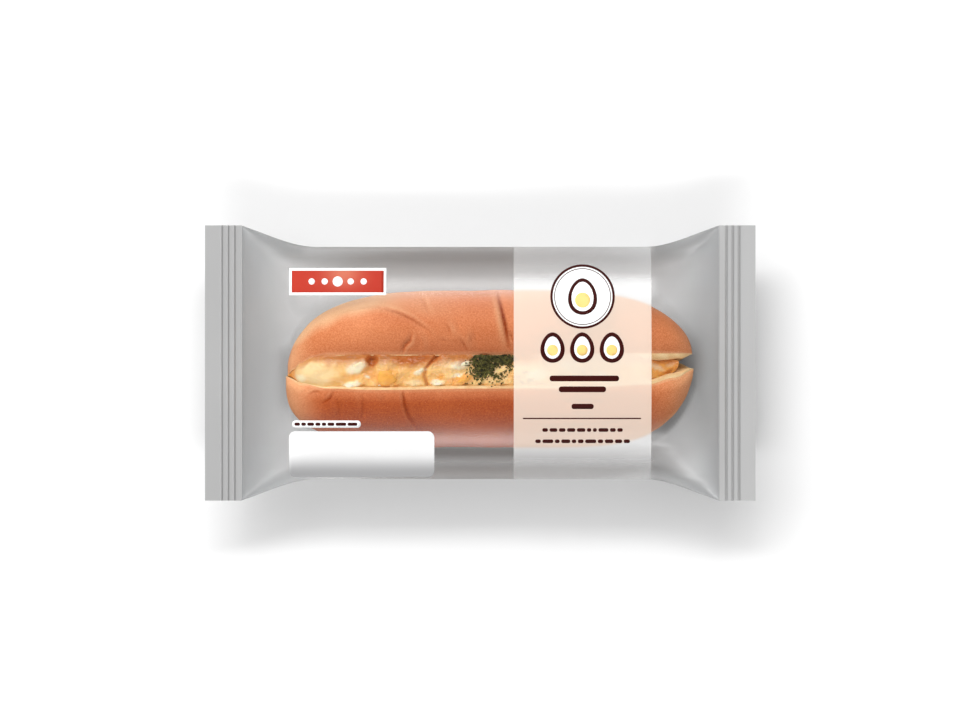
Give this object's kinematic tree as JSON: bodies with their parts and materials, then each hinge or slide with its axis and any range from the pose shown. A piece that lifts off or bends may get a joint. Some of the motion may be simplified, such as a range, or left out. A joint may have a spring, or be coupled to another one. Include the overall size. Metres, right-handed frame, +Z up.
{
  "type": "egg salad roll in a clear pillow bag",
  "caption": "Long soft bread roll split and filled with egg salad, sealed in a clear pillow bag with crimped ends and simple printed fields.",
  "frame": {"origin": "on the surface that the pack lies on, under the middle of its length and width", "axes": "+X along the pack from one end seal to the other, +Y across it towards the upper edge of the printed front, +Z up out of the printed front"},
  "size_m": [0.23, 0.115, 0.0456],
  "materials": {
    "film": "glossy film, clear in front and silver-grey behind, lying over the roll",
    "print_white": "white ink under a glossy film, see-through over the roll where it is the wide panel",
    "print_cream": "cream-yellow ink under a glossy film",
    "ink_brown": "dark brown ink under a glossy film",
    "ink_red": "red ink under a glossy film",
    "crust": "thin soft baked crust, satin, tan-orange",
    "crumb": "pale open bread crumb",
    "egg_salad": "creamy moist egg salad with pieces of white and yolk",
    "parsley": "dry flaked green herb"
  },
  "bodies": {
    "root": {"bag": "film", "print_panel": "print_white", "emblem_ring": "ink_brown", "emblem_disc": "print_white", "emblem_egg": "ink_brown", "emblem_white": "print_white", "emblem_yolk": "print_cream", "note_strip": "print_white", "plate_border": "print_white", "plate_field": "ink_red", "blank_label": "print_white", "rule": "ink_brown", "slice_rim_1": "ink_brown", "slice_white_1": "print_white", "slice_yolk_1": "print_cream", "slice_rim_2": "ink_brown", "slice_white_2": "print_white", "slice_yolk_2": "print_cream", "slice_rim_3": "ink_brown", "slice_white_3": "print_white", "slice_yolk_3": "print_cream", "bar_1": "ink_brown", "bar_2": "ink_brown", "bar_3": "ink_brown", "bar_4": "ink_brown", "bar_5": "ink_brown"}
  },
  "joints": []
}
